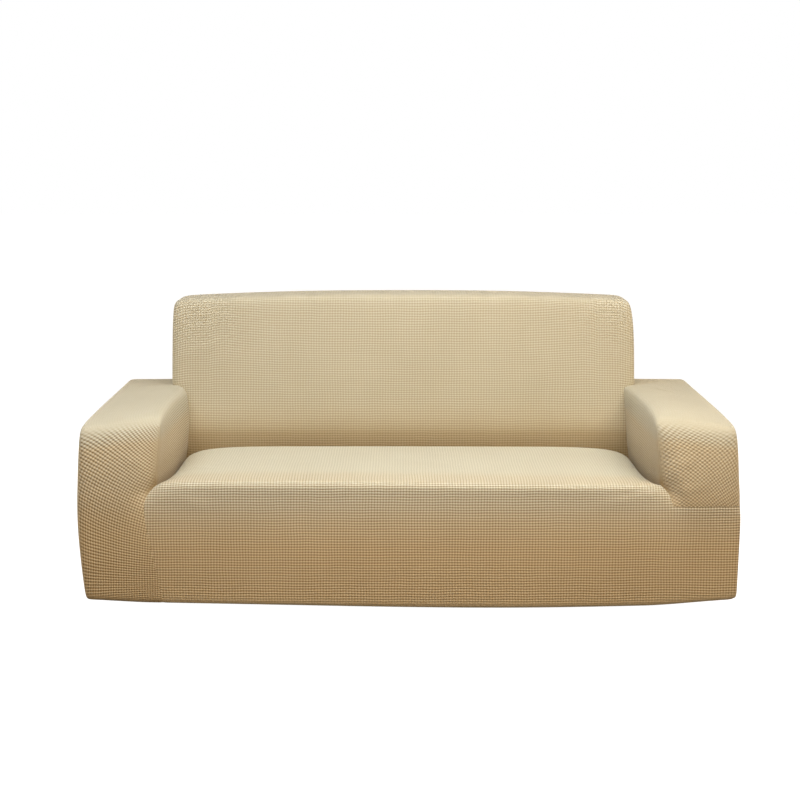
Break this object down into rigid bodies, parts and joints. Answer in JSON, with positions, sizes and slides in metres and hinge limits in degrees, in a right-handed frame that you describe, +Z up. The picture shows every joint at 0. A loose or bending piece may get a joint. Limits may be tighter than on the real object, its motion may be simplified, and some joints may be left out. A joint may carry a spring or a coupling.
{
  "type": "sofa slipcover",
  "caption": "Fitted stretch slipcover for a sofa, sewn from seat and front, arm, backrest and rear cloths, hollow and open underneath.",
  "frame": {"origin": "under the middle of the top of the backrest, where the cover hangs on the sofa", "axes": "+X to the right seen from the front, +Y to the rear, +Z up"},
  "size_m": [1.7146, 0.8584, 0.7626],
  "materials": {
    "seat_front_knit": "matt waffle stretch knit, beige",
    "arm_left_knit": "matt waffle stretch knit, beige",
    "arm_right_knit": "matt waffle stretch knit, beige",
    "back_knit": "matt waffle stretch knit, beige",
    "rear_knit": "matt waffle stretch knit, beige"
  },
  "bodies": {
    "root": {"seat_front_panel": "seat_front_knit", "arm_cover_left": "arm_left_knit", "arm_cover_right": "arm_right_knit", "back_cover": "back_knit", "rear_panel": "rear_knit"}
  },
  "joints": []
}
